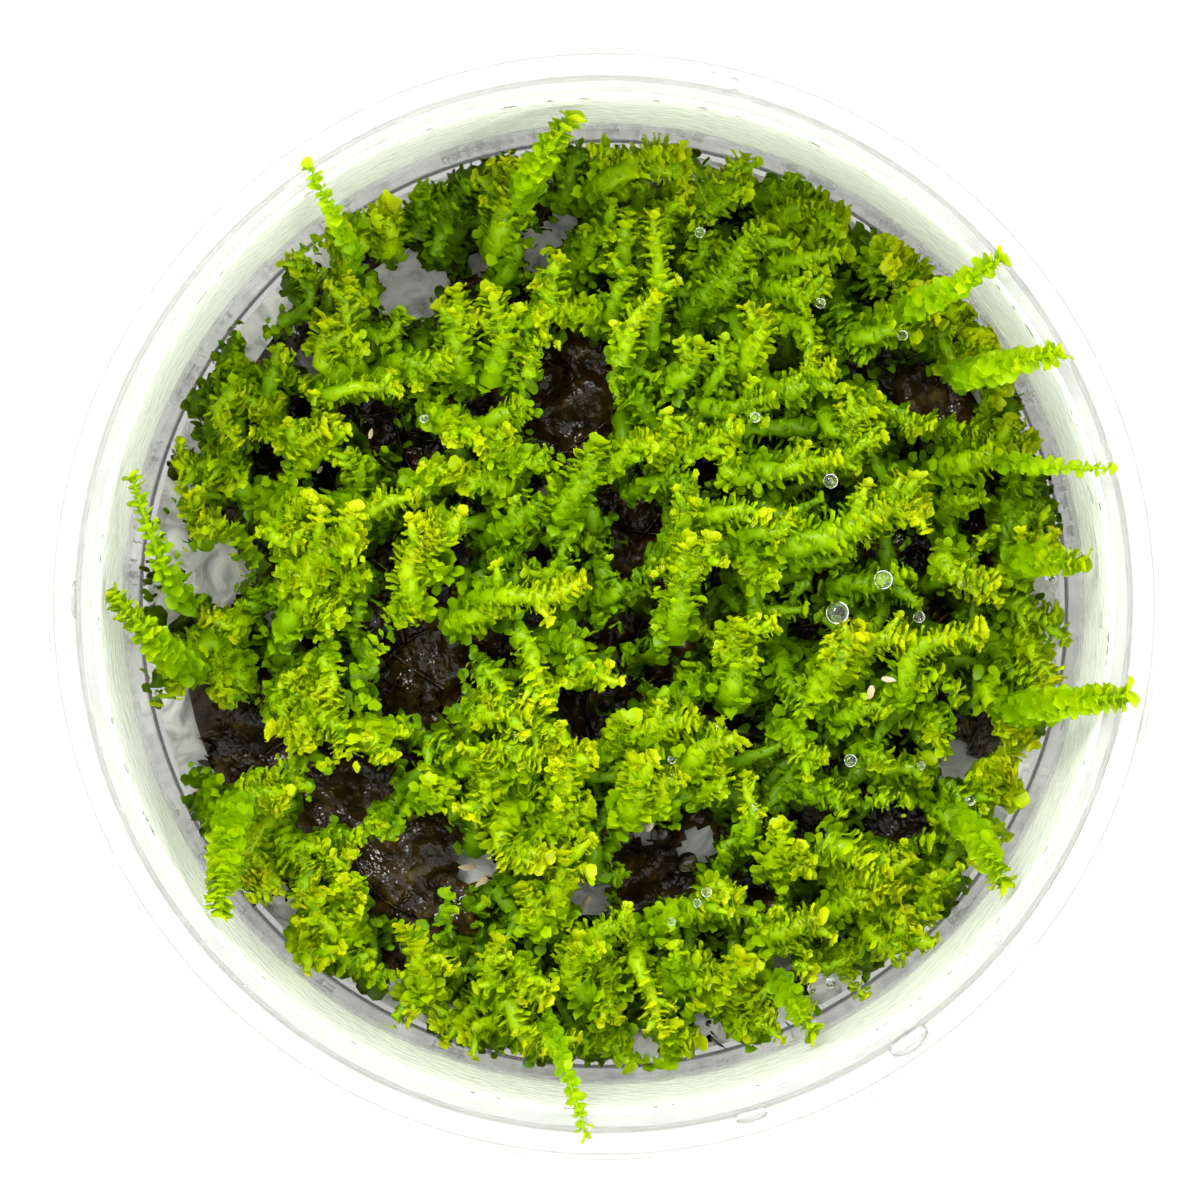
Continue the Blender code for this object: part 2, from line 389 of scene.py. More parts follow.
def even_path(path, stations):
    """The same path with its points evenly spaced."""
    steps = np.linalg.norm(np.diff(path, axis=0), axis=1)
    run = np.concatenate([[0], np.cumsum(steps)])
    wanted = np.linspace(0, run[-1], stations)
    return np.stack([np.interp(wanted, run, path[:, axis]) for axis in range(3)], 1)


def along(path, share):
    """Places and directions at shares of an even path's length."""
    position = np.clip(share, 0, 1) * (len(path) - 1)
    low = np.minimum(position.astype(int), len(path) - 2)
    part = (position - low)[:, None]
    ahead = np.gradient(path, axis=0)
    places = path[low] * (1 - part) + path[low + 1] * part
    return places, unit(ahead[low] * (1 - part) + ahead[low + 1] * part)


def openness(x, y, spots):
    """How far places in millimetres lie inside any of the spots: 1 in a middle, 0 at an edge and less
    than 0 outside. An edge has five lobes."""
    FAR_OUTSIDE = -9.0
    most = np.full(np.shape(x), FAR_OUTSIDE)
    for spot_x, spot_y, radius in spots:
        ragged = radius * (1 + 0.18 * np.sin(5 * np.arctan2(y - spot_y, x - spot_x) + spot_x))
        most = np.maximum(most, 1 - np.hypot(x - spot_x, y - spot_y) / ragged)
    return most


class Shoots:
    """Collects the leaves and stems of one piece, to be joined in a single mesh. All in millimetres."""

    def __init__(self, holes=()):
        self.holes = holes
        self.points, self.quads, self.tones, self.count = [], [], [], 0

    def add(self, points, quads, tone):
        tones = np.broadcast_to(tone, points.shape[:-1]).ravel()
        self.points.append(points.reshape(-1, 3))
        self.quads.append(quads + self.count)
        self.tones.append(tones)
        self.count += len(tones)

    def leaves(self, shape, origin, ahead, angle, size, spread, tone, dice, inset, poke):
        """One leaf at each origin, turned round the stem by angle and leaning off it by spread. It
        starts at a distance inset from the stem's line. poke lets it reach into a hole's rim."""
        level = unit(np.cross(ahead, np.array([0.01, 0.02, 1.0])))
        outward = np.cos(angle)[:, None] * level + np.sin(angle)[:, None] * np.cross(level, ahead)
        axis = unit(np.cos(spread)[:, None] * ahead + np.sin(spread)[:, None] * outward)
        origin = origin + inset[:, None] * outward
        # Painted light and shade: a leaf facing up is painted lighter and one facing down darker, for the
        # light falling from above.
        tone = tone + 0.10 * outward[:, 2]
        reach_x, reach_y, _ = (origin + 0.8 * size[:, None] * axis).T
        kept = openness(reach_x, reach_y, self.holes) < poke + dice.uniform(-0.22, 0.10, len(origin))
        origin, ahead, outward, axis, size, tone = (
            values[kept] for values in (origin, ahead, outward, axis, size, tone)
        )
        template, quads = shape
        count = len(origin)
        across = unit(np.cross(ahead, outward) + dice.normal(0, 0.25, (count, 1)) * outward)
        upper = np.cross(across, axis)
        x, y, z = template.T
        frill = 0.10 * np.sin(9.0 * x + 5.0 * y + dice.uniform(0, 6.28, (count, 1))) * (0.3 + y)
        depth = z * dice.uniform(0.5, 1.6, (count, 1)) + frill
        broad = x * dice.uniform(0.8, 1.2, (count, 1))
        long = y * dice.uniform(0.9, 1.1, (count, 1))
        points = origin[:, None] + size[:, None, None] * (
            broad[..., None] * across[:, None] + long[..., None] * axis[:, None]
            - depth[..., None] * upper[:, None]
        )
        copies = (quads[None] + (np.arange(count) * len(template))[:, None, None]).reshape(-1, 4)
        # Painted shade: each leaf is painted darker at its base, where the leaves above overlap it, and
        # lighter toward its tip.
        self.add(points, copies, tone[:, None] + 0.14 * (y - 0.6))

    def stem(self, path, radius, tone, sides):
        """A tapered, rippled tube, left out where it would cross a hole."""
        ahead = unit(np.gradient(path, axis=0))
        level = unit(np.cross(ahead, np.array([0.13, 0.21, 1.0])))
        turn = (np.arange(sides) * 2 * math.pi / sides)[None, :, None]
        ring = np.cos(turn) * level[:, None] + np.sin(turn) * np.cross(ahead, level)[:, None]
        share = np.linspace(0, 1, len(path))
        ripple = radius * (1 - 0.65 * share**3) * (1 + 0.16 * np.cos(math.pi * np.arange(len(path))))
        points = path[:, None] + ripple[:, None, None] * ring
        open_way = openness(path[:, 0], path[:, 1], self.holes) < -radius / 4
        low = (np.arange(len(path) - 1)[open_way[1:] & open_way[:-1]] * sides)[:, None]
        corner = np.arange(sides)
        after = (corner + 1) % sides
        quads = np.stack([low + corner, low + after, low + sides + after, low + sides + corner], -1)
        self.add(points, quads.reshape(-1, 4), tone)

    def shoot(self, path, width, tone, dice, shape, density, star=6, core=0.6, poke=0.0):
        """A leafy shoot. Leaves crowd round a core by the golden angle and end in a star. density is
        leaves for each square millimetre of length by width, core the core's share of the width."""
        GOLDEN = 2.39996
        LEAN = 1.0
        LUMP = 2.6
        WIDEST_LEAF = 1.15
        length = np.linalg.norm(np.diff(path, axis=0), axis=1).sum()
        count = max(6, int(length * width * density))
        share = ((np.arange(count) + dice.uniform(0, 0.6, count)) / count) ** 0.7
        origin, ahead = along(path, share)
        angle = np.arange(count) * GOLDEN + dice.uniform(0, 6.28) + dice.normal(0, 0.2, count)
        thickness = core * width / 2
        leaf = (width / 2 - thickness) / math.sin(LEAN) + 0.15
        lump = 1 + 0.2 * np.sin(share * length * 2 * math.pi / LUMP + dice.uniform(0, 6.28))
        size = np.minimum(leaf * lump * dice.uniform(0.75, 1.25, count), WIDEST_LEAF)
        spread = LEAN + dice.normal(0, 0.25, count)
        # Partly painted shade: leaves and stem are painted darker toward the shoot's foot, for older growth
        # and for the shade deep in the clump.
        tones = tone * (0.34 + 0.66 * share**1.2) + dice.normal(0, 0.045, count)
        inset = thickness * lump * (1 - 0.65 * share**3)
        self.leaves(shape, origin, ahead, angle, size, spread, tones, dice, inset, poke)
        stem_tones = tone * np.linspace(0.3, 0.9, len(path))[:, None]
        self.stem(path, thickness, stem_tones, 7 if core > 0.3 else 4)
        origin, ahead = along(path, np.ones(star))
        angle = np.arange(star) * 2 * math.pi / star + dice.uniform(0, 6.28)
        size = min(1.25 * leaf, 1.5) * dice.uniform(0.7, 1.2, star)
        self.leaves(shape, origin, ahead, angle, size, dice.uniform(0.4, 1.3, star),
                    np.full(star, tone + 0.08), dice, np.zeros(star), poke)

    def build(self, name, mat):
        """The joined piece, pressed inside the cup's wall up to the lip."""
        WALL_GAP = 0.35
        points = np.concatenate(self.points)
        reach = np.hypot(points[:, 0], points[:, 1])
        limit = bore_radius(np.clip(points[:, 2], CORNER_TOP, LIP_Z)) - WALL_GAP
        pressed = np.where((reach > limit) & (points[:, 2] < LIP_Z), limit / np.maximum(reach, 1), 1.0)
        points[:, :2] *= pressed[:, None]
        made = from_arrays(name, points * MM, np.concatenate(self.quads), tone=np.concatenate(self.tones))
        made.data.materials.append(mat)
        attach(made, "root")
        return made


# Holes through to the bare gel, and deep gaps down to the old growth: x, y and radius in millimetres.
BARE = (
    (-18.2, 29.5, 3.0), (-27.5, 22.0, 1.2), (-25.8, 31.8, 1.0), (-31.0, 27.5, 1.6), (-32.5, 25.5, 1.3),
    (-6.0, 32.0, 1.3), (-4.8, 33.8, 1.3), (-3.6, 35.4, 1.1), (-7.0, 33.8, 0.9), (-11.5, 31.5, 1.0),
    (-40.5, 4.5, 1.4), (-39.6, 7.0, 1.3), (-40.2, 0.0, 1.5), (-36.0, 3.0, 3.0), (-30.5, -1.5, 1.2),
    (32.5, -15.0, 1.7), (42.0, -9.0, 0.8), (41.2, -12.3, 0.8), (-1.3, -27.0, 1.9), (9.0, -22.5, 1.5),
    (4.0, -21.0, 1.0), (3.7, -40.5, 1.4), (9.0, -38.3, 1.2), (16.5, -33.3, 0.9), (21.0, -35.5, 1.7),
    (17.0, -38.0, 1.4), (-23.5, -36.0, 1.4), (-21.0, -37.5, 1.4), (-11.5, -24.5, 1.6), (-6.0, 11.0, 1.1),
)
GAPS = (
    (-3.0, 20.0, 3.8), (-3.5, 17.0, 3.5), (-1.5, 21.8, 2.2), (-10.0, 19.2, 1.4), (-11.5, 18.0, 1.1),
    (29.5, 19.5, 2.4), (32.5, 18.8, 2.2), (27.0, 20.0, 1.8), (-32.0, 23.3, 1.2), (-22.0, 31.5, 1.0),
    (-28.0, 18.0, 1.3), (-20.5, 16.5, 2.2), (-31.0, 13.0, 1.9), (-25.5, 11.7, 1.6), (-17.5, 13.5, 1.4),
    (-5.5, 36.0, 1.0), (0.0, 29.5, 1.1), (-20.5, 4.5, 1.3), (-21.0, -1.5, 1.1), (-27.0, -3.5, 1.1),
    (-6.0, 4.5, 1.3), (-13.0, 4.7, 1.3), (2.0, 4.0, 1.6), (3.0, 7.0, 2.1), (0.3, 9.8, 1.3),
    (3.5, 12.3, 0.9), (9.3, 12.5, 1.2), (10.5, 2.5, 1.1), (5.3, 2.0, 0.9), (34.5, 7.5, 1.3),
    (35.3, 4.0, 1.1), (29.0, 5.3, 1.2), (29.0, 4.0, 1.1), (20.3, 2.3, 1.0), (-6.5, -1.8, 1.0),
    (-9.5, -3.2, 1.3), (-2.5, -9.5, 2.0), (-1.5, -11.5, 1.5), (2.0, -8.5, 1.4), (5.5, -6.5, 1.3),
    (7.0, -4.0, 1.2), (10.0, -9.5, 1.1), (12.0, -11.0, 1.1), (-17.0, -4.5, 3.4), (-16.0, -7.5, 3.5),
    (-18.5, -8.0, 2.8), (-14.5, -5.0, 2.5), (-37.5, -11.8, 4.2), (-34.5, -12.5, 3.8), (-31.5, -13.5, 2.0),
    (-39.5, -11.0, 2.5), (-18.0, -25.0, 4.8), (-20.5, -24.0, 2.6), (-15.5, -22.8, 2.0),
    (-24.0, -17.5, 3.6), (-27.0, -19.5, 1.8), (-21.0, -16.5, 1.8), (-19.0, -32.5, 1.3), (18.5, -20.0, 1.7),
    (26.5, -20.3, 1.7), (28.5, -20.0, 1.5), (14.5, -26.7, 1.6), (34.0, -12.5, 2.4), (6.0, -24.0, 3.2),
    (8.5, -20.5, 1.9), (3.5, -22.5, 1.9), (0.5, -3.0, 1.4), (3.0, -2.0, 1.3), (-14.0, 18.8, 0.9),
    (-15.5, -20.0, 1.0), (-13.0, -29.5, 1.2), (-34.5, 8.5, 0.9), (24.0, -17.0, 1.0), (31.0, -8.5, 0.9),
)

dead = new_material("soaked_dead_moss")
coords = node(dead, "ShaderNodeTexCoord")
SHRED = 2.2 * MM
shreds = node(
    dead, "ShaderNodeTexNoise", [("Vector", coords.outputs["Object"])],
    [("Scale", 1 / SHRED), ("Detail", 3.0)],
)
rot = node(
    dead, "ShaderNodeValToRGB", [("Fac", shreds.outputs["Fac"])],
    stops=((0.36, "#181205"), (0.80, "#5A4818"), (0.58, "#2C200A")),
)
pulp = node(
    dead, "ShaderNodeBump", [("Height", shreds.outputs["Fac"])], [("Strength", 0.9), ("Distance", 0.9 * MM)]
)
soaked = node(
    dead, "ShaderNodeBsdfPrincipled",
    [("Base Color", rot.outputs["Color"]), ("Normal", pulp.outputs["Normal"])],
    [("Roughness", 0.14), ("IOR", 1.38), ("Specular IOR Level", 0.25)],
)
node(dead, "ShaderNodeOutputMaterial", [("Surface", soaked.outputs[0])])

mat_high = Vector(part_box("old_growth_mat")[1])
SLAB_TOP = 7.6


def slab_height(x, y):
    pulp_height = noise.fractal((x * 330, y * 330, 1.0), 1.0, 2.0, 4)
    ridge = noise.ridged_multi_fractal((x * 170, y * 170, 5.0), 1.0, 2.1, 3, 1.0, 2.0)
    fall = 1.4 * max(0.0, (math.hypot(x, y) / MM - 36.0) / 5.0) ** 2
    return max(gel_high.z + 0.2 * MM, (SLAB_TOP + 0.8 * pulp_height + 0.7 * ridge - fall) * MM)


slab = disc(
    "old_growth_slab", mat_high.x - 0.6 * MM, 90, 240, slab_height,
    lambda x, y: openness(x / MM, y / MM, BARE) < 0.05,
)
slab.data.materials.append(dead)
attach(slab, "root")
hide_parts("old_growth_mat")

dice = np.random.default_rng(3)
FELT_SHOOTS = 220
felt = Shoots(BARE)
for _ in range(FELT_SHOOTS):
    far = 39.0 * math.sqrt(dice.uniform())
    bearing = dice.uniform(0, 2 * math.pi)
    middle = np.array([far * math.cos(bearing), far * math.sin(bearing), dice.uniform(7.4, 9.6)])
    heading = dice.uniform(0, 2 * math.pi)
    half = dice.uniform(3, 6) * np.array([math.cos(heading), math.sin(heading), dice.uniform(-0.1, 0.1)])
    bow = np.array([-half[1], half[0], 0.6]) * dice.uniform(-0.4, 0.4)
    t = np.linspace(-1, 1, 9)[:, None]
    felt.shoot(
        middle + t * half + bow * t**2, dice.uniform(1.8, 3.4), 0.2, dice, LANCE_LEAF, 0.6, star=4, core=0.15
    )
felt_piece = felt.build("old_growth_felt", dead)

# Pale scraps of dried leaf that lie in the gaps: x, y, height and size in millimetres.
SCRAPS = (
    (-21.5, 15.2, 17.0, 1.2), (-11.8, -24.2, 14.0, 1.9), (-10.8, -25.2, 14.0, 1.6), (24.5, -7.5, 21.0, 1.5),
    (25.4, -6.8, 21.0, 1.4), (-1.3, -27.0, 13.0, 1.8), (4.0, -21.0, 14.0, 1.3), (-26.3, 12.0, 17.0, 1.0),
)
dried = new_material("dried_moss_leaf")
chaff = node(
    dried, "ShaderNodeBsdfPrincipled", inputs=[("Base Color", rgb("#8A7D60")), ("Roughness", 0.4)]
)
node(dried, "ShaderNodeOutputMaterial", [("Surface", chaff.outputs[0])])
scraps = Shoots()
spots = np.array(SCRAPS)
facing = unit(dice.normal(0, 1, (len(spots), 3)) * (1, 1, 0.1))
scraps.leaves(
    LANCE_LEAF, spots[:, :3], facing, np.full(len(spots), 1.4), spots[:, 3], np.full(len(spots), 0.3),
    np.zeros(len(spots)), dice, np.zeros(len(spots)), 0.0,
)
scraps_piece = scraps.build("dried_scraps", dried)

# ---------------------------------------------------------------- tufts
# Living shoots that lean on one another: soft, wet and one cell thick at the leaf. Their colour goes from
# yellow-green at the top to deep green inside, partly for older growth and partly as painted shade. Each tuft
# is one joined piece.
living = new_material("wet_living_moss")
tone = node(living, "ShaderNodeAttribute", attribute_name="tone")
coords = node(living, "ShaderNodeTexCoord")
PATCH = 2.4 * MM
patches = node(
    living, "ShaderNodeTexNoise", [("Vector", coords.outputs["Object"])],
    [("Scale", 1 / PATCH), ("Detail", 2.0)],
)
mottle = node(
    living, "ShaderNodeMath", [(0, patches.outputs["Fac"])], [(1, 0.32), (2, -0.16)], operation="MULTIPLY_ADD"
)
# The tone attribute carries age together with painted shade; the patches add random tone.
ripeness_and_shade = node(living, "ShaderNodeMath", [(0, tone.outputs["Fac"]), (1, mottle.outputs[0])], operation="ADD")
greens = node(
    living, "ShaderNodeValToRGB", [("Fac", ripeness_and_shade.outputs[0])],
    stops=(
        (0.0, "#3A3800"), (1.0, "#B6C008"), (0.20, "#547A00"), (0.40, "#78A000"), (0.60, "#94B400"),
        (0.80, "#A6BA04"),
    ),
)
cells = node(
    living, "ShaderNodeBump", [("Height", patches.outputs["Fac"])],
    [("Strength", 0.4), ("Distance", 0.5 * MM)],
)
leaf_face = node(
    living, "ShaderNodeBsdfPrincipled",
    [("Base Color", greens.outputs["Color"]), ("Normal", cells.outputs["Normal"])],
    [("Roughness", 0.34), ("IOR", 1.36), ("Specular IOR Level", 0.22)],
)
shine_through = node(living, "ShaderNodeBsdfTranslucent", [("Color", greens.outputs["Color"])])
leaf_mix = node(
    living, "ShaderNodeMixShader", [(1, leaf_face.outputs[0]), (2, shine_through.outputs[0])], [(0, 0.50)]
)
node(living, "ShaderNodeOutputMaterial", [("Surface", leaf_mix.outputs[0])])

# The shoots that show from above, seen flat: x and y of the foot, of the bend and of the tip, the
# width, all in millimetres, and how young and how lit it is, from 0 for deep green to 1 for yellow-green:
# partly the shoot's age and partly painted shade.
SHOOTS = (
    # back left
    (-24, 20.8, -25.8, 23, -25.3, 25.5, 4, 0.78), (-22, 21.5, -23.8, 25, -23.2, 29.3, 2.8, 0.80),
    (-24, 23.5, -22.8, 23.8, -22, 23.6, 2.4, 0.75), (-20.5, 29, -22, 28.3, -23.5, 29.8, 2.2, 0.72),
    (-23.5, 30.5, -24.2, 33, -24.5, 35.8, 3.2, 0.76), (-24.5, 33.5, -26.5, 32.8, -28.3, 31, 2.8, 0.72),
    (-20, 32.5, -20, 35.5, -20.8, 38, 3.6, 0.86), (-21, 31.5, -22.8, 34, -22, 36, 3.2, 0.70),
    (-17.5, 33.5, -15, 36.5, -12.5, 38.3, 4.4, 0.30), (-14, 33.8, -13, 36.5, -16, 37.8, 4.4, 0.28),
    (-22, 25, -20, 24.5, -18.3, 26.5, 2.6, 0.62), (-25.5, 19.4, -22.5, 19.6, -19.2, 20.2, 2.4, 0.80),
    (-26.8, 15, -26.8, 17.5, -26.5, 19, 2.4, 0.75), (-30, 16, -31.5, 18.3, -33.5, 19.2, 3, 0.74),
    (-34.2, 19.2, -35.2, 16.8, -33.5, 14.8, 2.2, 0.86), (-28.5, 16.2, -30.5, 15.5, -32, 15.6, 2.4, 0.78),
    (-35.5, 14.5, -35.5, 18, -33, 22, 4, 0.38), (-33.5, 21.5, -33.5, 24, -31, 24.6, 1.6, 0.55),
    (-31, 19, -30, 21.5, -27.5, 20.5, 3.2, 0.55), (-29.5, 26, -27, 28, -26.8, 30.8, 2.4, 0.50),
    (-18.5, 22.5, -16.5, 21.5, -14.5, 22.5, 3.4, 0.62),
    # back
    (-10, 33.5, -8.5, 37, -7.5, 40.3, 4.2, 0.80), (-7.5, 35, -9.5, 38, -8.5, 39.8, 3.6, 0.75),
    (-9.5, 29.5, -8, 33, -7.5, 36, 3, 0.48), (-3.5, 37.5, -3, 40, -1, 41, 3.2, 0.42),
    (0.5, 38.5, 3, 40.5, 6.5, 41.2, 4.4, 0.80), (1.5, 39.5, 1, 41, -0.8, 41.8, 2.6, 0.72),
    (7, 38, 6.8, 40, 7.5, 41, 3, 0.74), (3.5, 36, 3.2, 38.2, 2.5, 39.8, 3, 0.52),
    (7, 36.5, 9.5, 38.2, 12.5, 38.8, 4, 0.66), (8, 37, 10.5, 36.8, 12, 39.8, 3.2, 0.58),
    (5.5, 34, 5.5, 35.8, 6.8, 36.8, 2.6, 0.72), (4.6, 24.5, 4.8, 30, 4.8, 35.5, 3, 0.74),
    (0.8, 20.8, 2, 24, 4.5, 28, 3.2, 0.84), (1, 31, 2, 33.5, 2, 35.8, 3.6, 0.62),
    (-2.5, 31.5, -1, 33, 0.5, 35, 3.4, 0.55), (-6.5, 26, -5, 28.5, -5.5, 32, 3.2, 0.74),
    (-1.5, 26.5, -3.5, 27, -5.5, 26.8, 3.4, 0.82), (-10, 21, -9.5, 25, -10, 28.3, 4, 0.76),
    (-13.5, 22, -13.5, 25, -13.5, 28.5, 4, 0.74), (-6.5, 19.5, -7, 22, -5.5, 24.2, 3, 0.72),
    (-10.5, 16.5, -7, 18, -3.5, 19.8, 2.8, 0.78), (-12, 16.8, -9.5, 17.5, -8, 18.5, 2.2, 0.60),
    (-14.5, 17, -13.5, 16, -13.5, 15, 3.2, 0.76), (5.5, 16, 3, 18.5, 1, 19.5, 3.6, 0.45),
    (6.5, 20.5, 8.5, 22.5, 8.5, 23.8, 3, 0.66), (10, 20, 10.8, 22.5, 11, 24, 2.2, 0.60),
    (13, 22, 14, 24, 14.5, 26.5, 3.8, 0.82), (9, 30, 9, 33, 8.6, 34.5, 3, 0.48),
    (10.5, 28.5, 12.5, 32, 14.5, 34.5, 4.2, 0.58), (8, 26.5, 9.5, 29, 12, 31, 4.2, 0.40),
    (0.5, 26.5, 1.5, 28.5, 2, 30.3, 3.2, 0.55), (9.5, 18, 12.5, 18, 15, 19, 3.6, 0.60),
    (12, 15, 10, 14.8, 7.5, 15, 3, 0.62),
    # back right
    (16, 34.5, 18, 36.5, 20.5, 37.6, 4.2, 0.66), (19, 33.5, 20.5, 35.5, 22, 36, 3.6, 0.70),
    (14.5, 37.5, 17, 37.8, 19, 38, 3.4, 0.50), (17, 31, 19.5, 32, 22, 32, 3.4, 0.64),
    (15.5, 29, 18, 28.5, 20.2, 28.8, 3.2, 0.66), (17.5, 26, 18.5, 25, 19.5, 23.2, 3, 0.66),
    (25, 31.5, 26, 33, 26.3, 34, 2.6, 0.70), (28.5, 28.5, 28, 31, 27.2, 32.5, 4, 0.86),
    (29.5, 28.5, 30.5, 30, 30, 31.3, 3, 0.70), (32, 27, 32.5, 29, 31.3, 30, 3, 0.88),
    (30, 25, 33, 25.5, 34, 27.5, 4, 0.64), (25.5, 26, 28, 26.8, 30.3, 26.8, 3.6, 0.80),
    (23, 24.5, 25.5, 24.8, 28.5, 24.8, 3.2, 0.62), (33.5, 22, 36, 22.8, 37.5, 22.8, 4, 0.90),
    (33, 20, 35.5, 20, 37.5, 20.5, 3.4, 0.72), (34, 24, 35.5, 25, 35.8, 24.3, 3, 0.82),
    (31.5, 23.8, 33, 22, 33.2, 20.2, 3, 0.62), (15, 19.5, 18, 20, 21, 21.5, 3.6, 0.66),
    (22.5, 14.5, 23.5, 17, 25, 18.8, 3.8, 0.70), (24.5, 18.5, 27, 17.5, 30, 16.8, 3, 0.72),
    (29.5, 16.5, 32, 16.3, 34.5, 15.8, 3.4, 0.60), (34.8, 16, 35.2, 17.5, 35.5, 19, 1.8, 0.58),
    (33.5, 12.8, 37, 14.5, 40.2, 15, 4.4, 0.80), (21.5, 29, 22, 26, 24, 23, 4, 0.34),
    (23.5, 33, 24.5, 31.5, 25, 29, 3.6, 0.34), (20.5, 17.5, 21.5, 15.5, 24.5, 15, 3.2, 0.58),
    # left
    (-38, 0.5, -39, 3, -40.5, 5.5, 2.2, 0.72), (-36.5, 5.5, -37, 8, -38.2, 9.8, 2.8, 0.80),
    (-33.5, 5, -35, 7, -36.5, 8, 3.4, 0.80), (-33, 10.5, -35.5, 12.5, -38.5, 12.5, 3.4, 0.66),
    (-36, 11, -38, 13, -38.8, 14.6, 2, 0.70), (-33, 14, -35, 13.5, -34, 11, 3.2, 0.60),
    (-29.5, 13, -27.8, 14.5, -26, 16, 3.8, 0.80), (-26.5, 13, -25, 15, -24.5, 16.8, 2.6, 0.78),
    (-29.5, 9, -27.5, 8.5, -26, 9.8, 4, 0.76), (-29.8, 7.2, -30.5, 6, -27.5, 5.8, 3, 0.82),
    (-27, 2, -25.5, 5, -22.5, 6.5, 5, 0.86), (-28.5, 4, -28.5, 2.5, -26, 2.5, 3.6, 0.82),
    (-24.5, 0.5, -23.5, 2, -22.5, 2.8, 3.2, 0.66), (-29, -1.5, -27, 0, -24.5, -1, 3.8, 0.72),
    (-17.5, -0.5, -17.8, 3, -16, 6.5, 3.8, 0.94), (-21.5, -7, -20, -3.5, -17.8, -0.5, 3.6, 0.74),
    (-22.5, 8.5, -20, 9, -17.5, 10, 2.8, 0.74), (-23.5, 9.5, -22.5, 11.5, -23, 13.5, 3.2, 0.58),
    (-16.5, 11.5, -15.5, 12.3, -14.5, 12, 3.2, 0.72), (-36.5, -3.5, -38.5, -5.5, -38.5, -7.5, 4.4, 0.76),
    (-35.5, -5.5, -36.5, -7, -36, -8, 3.2, 0.72), (-37.5, -5, -39.3, -7.5, -40.2, -9.5, 2.6, 0.68),
    (-33.5, -2, -34.5, -1.8, -36.5, -1.5, 2.6, 0.82), (-33.5, -6, -34, -8.5, -35, -10, 3.6, 0.66),
    (-27, -5.5, -27.5, -7.5, -28.5, -6.5, 3.4, 0.72), (-29.5, -8, -30, -9.5, -28, -8.5, 3, 0.70),
    (-25.5, -4.5, -25, -7, -24.8, -9, 3, 0.84), (-26.5, -9.5, -24.5, -11, -23, -13.5, 4, 0.76),
    (-26.8, -11, -28.5, -12, -30, -12, 4.2, 0.96), (-21, -10.5, -21, -12, -20, -14, 3.2, 0.82),
    (-19, -11.5, -18, -10.5, -17.8, -9.5, 2.2, 0.66), (-25.5, -16, -24.5, -15, -23, -14.5, 2.8, 0.84),
    (-37.5, -14, -39, -13.8, -39.6, -14.2, 2.2, 0.62), (-30, -3, -31, -1, -31.5, 1, 3.4, 0.34),
    (-17.5, -10.5, -16, -12, -14.5, -13.5, 3.4, 0.54),
    # middle
    (-9.5, 0.5, -5.5, 0.8, -2, 1.8, 3.2, 0.96), (-12.5, -1.5, -10.5, -0.5, -9, 1, 3.6, 0.72),
    (-3.8, 1.8, -5, 2.8, -6.8, 2.8, 2.6, 0.66), (-8.5, 13.5, -9.5, 14.5, -9.2, 15.6, 3.6, 0.74),
    (-9, 10.5, -12, 11.5, -13.5, 12, 3.6, 0.72), (-14.5, 4.5, -15, 6.5, -16.5, 7.3, 4.2, 0.90),
    (-8, 13.3, -5.5, 13.2, -2.5, 14, 2.6, 0.70), (-3.5, 8.5, -2, 11.5, -0.5, 14.5, 4, 0.62),
    (0.5, 12.5, 1.8, 13.8, 4, 15, 3.2, 0.70), (-8.5, 7, -6.5, 9, -4.5, 10.5, 3.6, 0.55),
    (4.5, 12.5, 5, 14.5, 6.5, 15.8, 3.2, 0.74), (6.5, 14, 9.5, 14.5, 12, 15.8, 3, 0.70),
    (13, 11.5, 11, 12.5, 10.5, 13.5, 3.6, 0.68), (3.5, 10.5, 5.5, 11.5, 8, 11.2, 3.2, 0.48),
    (7, 6, 7.5, 8, 7.8, 9.2, 3, 0.70), (9, 7.5, 11, 8.5, 14.5, 8, 3, 0.70),
    (6.5, -1.5, 7, 1.5, 7.5, 5.5, 4.2, 0.74), (8.5, 4, 9.3, 4.7, 9.8, 5.7, 3, 0.78),
    (6, -3, 6, -1, 6.5, 0.5, 2.8, 0.62), (12, -8, 11.8, -5, 12.5, -2, 4, 0.74),
    (11.5, -2.5, 13.5, -2.2, 15.6, -2.3, 2.2, 0.86), (-8.5, -2, -6.5, -5, -5, -9.5, 3, 0.84),
    (-5.5, -7.5, -4.2, -8.4, -2.8, -8.6, 2.2, 0.82), (-12.5, -5, -10.5, -6.5, -8.5, -9, 3, 0.68),
    (-13, -9.5, -10.5, -10, -7, -10.2, 3.4, 0.80), (-8, -9.5, -6, -11, -5, -12, 3.2, 0.72),
    (-3.5, -3.5, -2, -5, -0.5, -6.8, 3.8, 0.60), (-1.5, -6.5, 0, -6.5, 1.3, -7.2, 2.4, 0.84),
    (0.5, -13.5, 2, -11.5, 2, -10.5, 4, 0.66), (4, -12, 6, -11, 8.5, -10.5, 4, 0.78),
    (8.5, -14, 10.5, -12.5, 12, -12.5, 4.2, 0.76), (-4.5, -14.5, -3, -13, -1.8, -12.8, 3.6, 0.88),
    (-12.5, -14.5, -9, -13.5, -6, -13.8, 3.8, 0.72), (-9.5, -15.5, -10.5, -14.5, -11, -13.5, 3.4, 0.76),
    (7, -7.5, 5.5, -8.5, 4.5, -10, 3.2, 0.60), (0.5, 0.8, 2, 2.2, 3.5, 3, 3.2, 0.46),
    (13, 4.5, 14, 2.5, 15, 2, 3.2, 0.66), (13, 6.5, 15.5, 6.5, 17, 7.5, 3, 0.68),
    (-10.5, 3.5, -8.5, 4.5, -6.5, 4, 3.4, 0.36),
    # right
